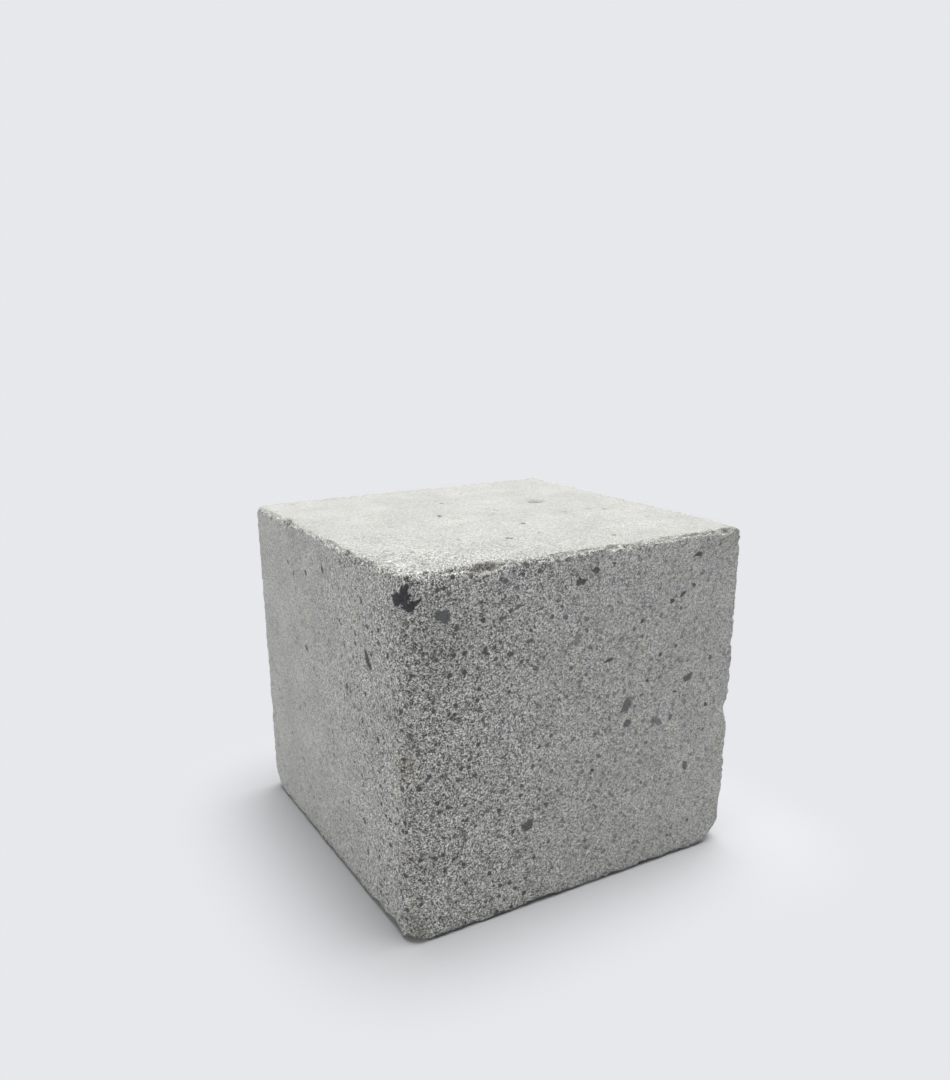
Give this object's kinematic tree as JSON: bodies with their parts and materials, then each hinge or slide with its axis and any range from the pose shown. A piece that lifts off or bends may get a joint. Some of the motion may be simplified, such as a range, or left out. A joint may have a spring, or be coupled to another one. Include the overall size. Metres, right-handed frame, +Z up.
{
  "type": "stone block",
  "caption": "Small near-cubic block of fine-grained grey stone with worn rounded edges and dark grains set flush in its faces; free standing.",
  "frame": {"origin": "centre of the underside, on the surface that the block rests on", "axes": "+Z up, -Y out of the front face, which has the most dark grains, -X out of the left face"},
  "size_m": [0.05, 0.05, 0.046],
  "materials": {
    "grey_stone": "dry, fine-grained, matt",
    "dark_grain": "dark grey, matt",
    "pale_grain": "pale grey, matt"
  },
  "bodies": {
    "root": {"stone_body": "grey_stone", "corner_grain_upper": "dark_grain", "corner_grain_lower": "dark_grain", "round_grain": "dark_grain", "rim_grain_left": "dark_grain", "rim_grain_right": "dark_grain", "rim_sliver": "dark_grain", "slanted_sliver": "dark_grain", "tall_grain": "dark_grain", "tall_grain_foot": "dark_grain", "flat_grain": "dark_grain", "leaning_grain": "dark_grain", "low_right_grain": "dark_grain", "low_left_grain": "dark_grain", "shoulder_grain_left": "dark_grain", "shoulder_grain_right": "dark_grain", "left_face_grain": "dark_grain", "left_face_upper_grain": "dark_grain", "left_face_middle_grain": "dark_grain", "pale_grain_upper": "pale_grain", "pale_grain_lower": "pale_grain", "top_pale_grain": "pale_grain", "front_small_grains": "dark_grain", "left_small_grains": "dark_grain", "top_small_grains": "dark_grain", "right_grains": "dark_grain", "back_grains": "dark_grain", "base_grains": "dark_grain"}
  },
  "joints": []
}
